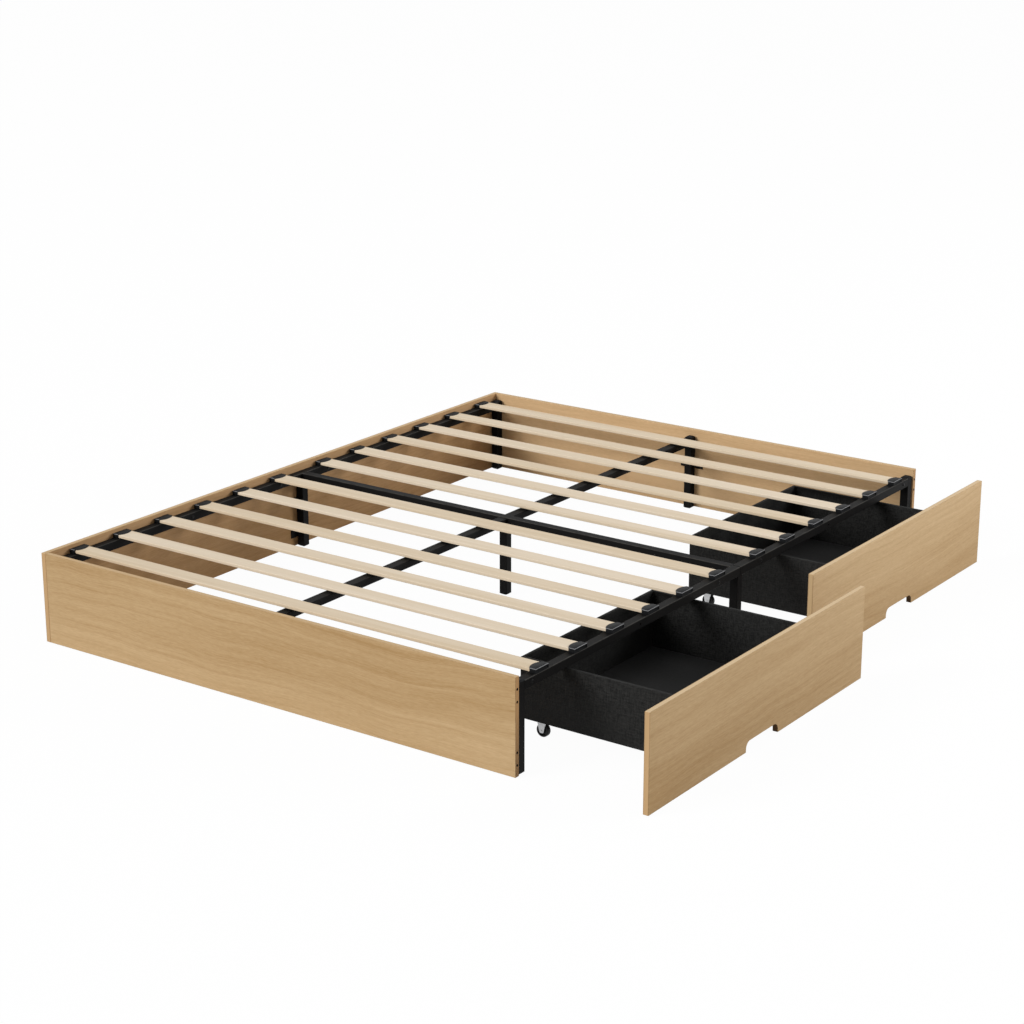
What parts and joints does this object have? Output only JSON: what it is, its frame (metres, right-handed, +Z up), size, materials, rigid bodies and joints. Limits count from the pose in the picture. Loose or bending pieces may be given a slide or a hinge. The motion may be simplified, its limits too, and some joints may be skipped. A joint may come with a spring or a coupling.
{
  "type": "storage platform bed",
  "caption": "Low platform bed frame with wood-look panels round a black steel frame, slats in plastic end caps, and long-fronted drawers that roll out at one side.",
  "frame": {"origin": "on the floor under the middle leg, at the centre of the bed", "axes": "+X across the bed towards the drawers, +Y along the bed towards the head end, +Z up"},
  "size_m": [1.928, 2.08, 0.256],
  "materials": {
    "oak_board": "matt oak-look foil",
    "slat_wood": "smooth, unfinished",
    "dowel_wood": "fluted beech",
    "black_steel": "satin powder coat",
    "black_plastic": "moulded",
    "black_screw": "black oxide",
    "drawer_board": "black linen-textured foil",
    "zinc_steel": "zinc plated",
    "wheel_plastic": "moulded"
  },
  "bodies": {
    "bed": {"foot_panel": "oak_board", "head_panel": "oak_board", "side_panel": "oak_board", "leg_foot_left": "black_steel", "leg_foot_centre": "black_steel", "leg_foot_right": "black_steel", "leg_mid_left": "black_steel", "leg_mid_centre": "black_steel", "leg_mid_right": "black_steel", "leg_head_left": "black_steel", "leg_head_centre": "black_steel", "leg_head_right": "black_steel", "rail_left_foot": "black_steel", "rail_left_head": "black_steel", "rail_right_foot": "black_steel", "rail_right_head": "black_steel", "rail_sleeves": "black_steel", "mid_crossbar": "black_steel", "centre_rail_foot": "black_steel", "centre_rail_head": "black_steel", "leg_plugs": "black_plastic", "panel_plates": "black_steel", "frame_screws": "black_screw", "panel_dowels": "dowel_wood", "slat_caps": "black_plastic", "slat_01": "slat_wood", "slat_02": "slat_wood", "slat_03": "slat_wood", "slat_04": "slat_wood", "slat_05": "slat_wood", "slat_06": "slat_wood", "slat_07": "slat_wood", "slat_08": "slat_wood", "slat_09": "slat_wood", "slat_10": "slat_wood", "slat_11": "slat_wood", "slat_12": "slat_wood"},
    "drawer_1": {"drawer_1_front": "oak_board", "drawer_1_inner_front": "drawer_board", "drawer_1_side_foot": "drawer_board", "drawer_1_side_head": "drawer_board", "drawer_1_back": "drawer_board", "drawer_1_bottom": "drawer_board", "drawer_1_caster_forks": "zinc_steel"},
    "drawer_1_wheel_back_foot": {"drawer_1_wheel_back_foot": "wheel_plastic"},
    "drawer_1_wheel_back_head": {"drawer_1_wheel_back_head": "wheel_plastic"},
    "drawer_1_wheel_front_foot": {"drawer_1_wheel_front_foot": "wheel_plastic"},
    "drawer_1_wheel_front_head": {"drawer_1_wheel_front_head": "wheel_plastic"},
    "drawer_2": {"drawer_2_front": "oak_board", "drawer_2_inner_front": "drawer_board", "drawer_2_side_foot": "drawer_board", "drawer_2_side_head": "drawer_board", "drawer_2_back": "drawer_board", "drawer_2_bottom": "drawer_board", "drawer_2_caster_forks": "zinc_steel"},
    "drawer_2_wheel_back_foot": {"drawer_2_wheel_back_foot": "wheel_plastic"},
    "drawer_2_wheel_back_head": {"drawer_2_wheel_back_head": "wheel_plastic"},
    "drawer_2_wheel_front_foot": {"drawer_2_wheel_front_foot": "wheel_plastic"},
    "drawer_2_wheel_front_head": {"drawer_2_wheel_front_head": "wheel_plastic"}
  },
  "joints": [
    {"name": "drawer_1_slide", "type": "slide", "parent": "bed", "child": "drawer_1", "axis": [1, 0, 0], "range_m": [-0.3525, 0.147]},
    {"name": "drawer_1_wheel_back_foot_spin", "type": "hinge", "parent": "drawer_1", "child": "drawer_1_wheel_back_foot", "pos_m": [0.6815, -0.792, 0.0175], "axis": [0, 1, 0], "continuous": true},
    {"name": "drawer_1_wheel_back_head_spin", "type": "hinge", "parent": "drawer_1", "child": "drawer_1_wheel_back_head", "pos_m": [0.6815, -0.249, 0.0175], "axis": [0, 1, 0], "continuous": true},
    {"name": "drawer_1_wheel_front_foot_spin", "type": "hinge", "parent": "drawer_1", "child": "drawer_1_wheel_front_foot", "pos_m": [1.0755, -0.792, 0.0175], "axis": [0, 1, 0], "continuous": true},
    {"name": "drawer_1_wheel_front_head_spin", "type": "hinge", "parent": "drawer_1", "child": "drawer_1_wheel_front_head", "pos_m": [1.0755, -0.249, 0.0175], "axis": [0, 1, 0], "continuous": true},
    {"name": "drawer_2_slide", "type": "slide", "parent": "bed", "child": "drawer_2", "axis": [1, 0, 0], "range_m": [-0.1995, 0.3]},
    {"name": "drawer_2_wheel_back_foot_spin", "type": "hinge", "parent": "drawer_2", "child": "drawer_2_wheel_back_foot", "pos_m": [0.5285, 0.249, 0.0175], "axis": [0, 1, 0], "continuous": true},
    {"name": "drawer_2_wheel_back_head_spin", "type": "hinge", "parent": "drawer_2", "child": "drawer_2_wheel_back_head", "pos_m": [0.5285, 0.792, 0.0175], "axis": [0, 1, 0], "continuous": true},
    {"name": "drawer_2_wheel_front_foot_spin", "type": "hinge", "parent": "drawer_2", "child": "drawer_2_wheel_front_foot", "pos_m": [0.9225, 0.249, 0.0175], "axis": [0, 1, 0], "continuous": true},
    {"name": "drawer_2_wheel_front_head_spin", "type": "hinge", "parent": "drawer_2", "child": "drawer_2_wheel_front_head", "pos_m": [0.9225, 0.792, 0.0175], "axis": [0, 1, 0], "continuous": true}
  ],
  "couplings": [
    {"joint": "drawer_1_wheel_back_foot_spin", "follows": "drawer_1_slide", "rad_per_m": 57.143},
    {"joint": "drawer_1_wheel_back_head_spin", "follows": "drawer_1_slide", "rad_per_m": 57.143},
    {"joint": "drawer_1_wheel_front_foot_spin", "follows": "drawer_1_slide", "rad_per_m": 57.143},
    {"joint": "drawer_1_wheel_front_head_spin", "follows": "drawer_1_slide", "rad_per_m": 57.143},
    {"joint": "drawer_2_wheel_back_foot_spin", "follows": "drawer_2_slide", "rad_per_m": 57.143},
    {"joint": "drawer_2_wheel_back_head_spin", "follows": "drawer_2_slide", "rad_per_m": 57.143},
    {"joint": "drawer_2_wheel_front_foot_spin", "follows": "drawer_2_slide", "rad_per_m": 57.143},
    {"joint": "drawer_2_wheel_front_head_spin", "follows": "drawer_2_slide", "rad_per_m": 57.143}
  ]
}
